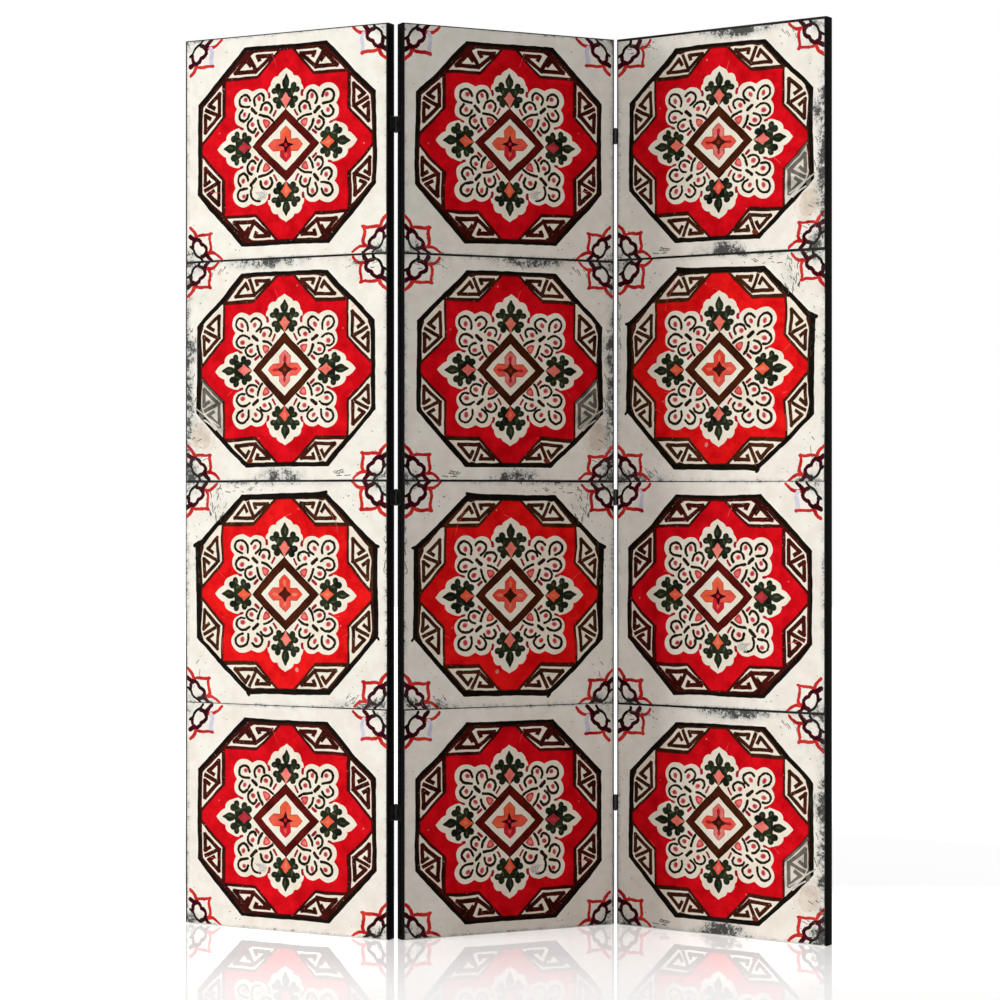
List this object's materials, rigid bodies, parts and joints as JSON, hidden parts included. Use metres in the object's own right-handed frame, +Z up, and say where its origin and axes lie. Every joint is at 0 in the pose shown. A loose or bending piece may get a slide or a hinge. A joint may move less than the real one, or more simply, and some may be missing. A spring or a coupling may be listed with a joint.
{
  "type": "folding room screen",
  "caption": "Free-standing folding room screen: tall hinged panels of canvas stretched over wooden frames, printed with a tile pattern on the front, for dividing or hiding part of a room.",
  "frame": {"origin": "on the floor, at the middle of the middle panel's foot", "axes": "+Z up, X along the screen's overall direction with +X to the viewer's right, -Y towards the printed front and the viewer"},
  "size_m": [1.2247, 0.3002, 1.72],
  "materials": {
    "printed_canvas": "matte printed canvas",
    "black_margin": "matte black printed canvas",
    "black_back_cloth": "matte black woven cloth",
    "pine": "planed, unfinished",
    "beech": "turned, unfinished",
    "hinge_steel": "black lacquer, satin",
    "pin_steel": "black lacquer, satin",
    "screw_steel": "black oxide"
  },
  "bodies": {
    "middle_panel": {"canvas_middle": "printed_canvas", "wrap_middle": "black_margin", "hem_middle": "black_margin", "back_cloth_middle": "black_back_cloth", "stile_left_middle": "pine", "stile_right_middle": "pine", "rail_bottom_middle": "pine", "brace_lower_middle": "pine", "brace_upper_middle": "pine", "rail_top_middle": "pine", "dowels_middle": "beech", "leaf_panel_left_low": "hinge_steel", "pin_left_low": "pin_steel", "leaf_panel_left_mid": "hinge_steel", "pin_left_mid": "pin_steel", "leaf_panel_left_high": "hinge_steel", "pin_left_high": "pin_steel", "leaf_panel_right_low": "hinge_steel", "pin_right_low": "pin_steel", "leaf_panel_right_mid": "hinge_steel", "pin_right_mid": "pin_steel", "leaf_panel_right_high": "hinge_steel", "pin_right_high": "pin_steel", "screws_panel_left": "screw_steel", "screws_panel_right": "screw_steel"},
    "left_panel": {"canvas_left": "printed_canvas", "wrap_left": "black_margin", "hem_left": "black_margin", "back_cloth_left": "black_back_cloth", "stile_left_left": "pine", "stile_right_left": "pine", "rail_bottom_left": "pine", "brace_lower_left": "pine", "brace_upper_left": "pine", "rail_top_left": "pine", "dowels_left": "beech", "leaf_wing_left_low": "hinge_steel", "leaf_wing_left_mid": "hinge_steel", "leaf_wing_left_high": "hinge_steel", "screws_wing_left": "screw_steel"},
    "right_panel": {"canvas_right": "printed_canvas", "wrap_right": "black_margin", "hem_right": "black_margin", "back_cloth_right": "black_back_cloth", "stile_left_right": "pine", "stile_right_right": "pine", "rail_bottom_right": "pine", "brace_lower_right": "pine", "brace_upper_right": "pine", "rail_top_right": "pine", "dowels_right": "beech", "leaf_wing_right_low": "hinge_steel", "leaf_wing_right_mid": "hinge_steel", "leaf_wing_right_high": "hinge_steel", "screws_wing_right": "screw_steel"}
  },
  "joints": [
    {"name": "fold_left", "type": "hinge", "parent": "middle_panel", "child": "left_panel", "pos_m": [-0.21204, -0.08092, 0.83], "axis": [0, 0, -1], "range_deg": [-52.5, 127.5]},
    {"name": "fold_right", "type": "hinge", "parent": "middle_panel", "child": "right_panel", "pos_m": [0.21204, 0.08092, 0.83], "axis": [0, 0, -1], "range_deg": [-59.7, 120.3]}
  ]
}
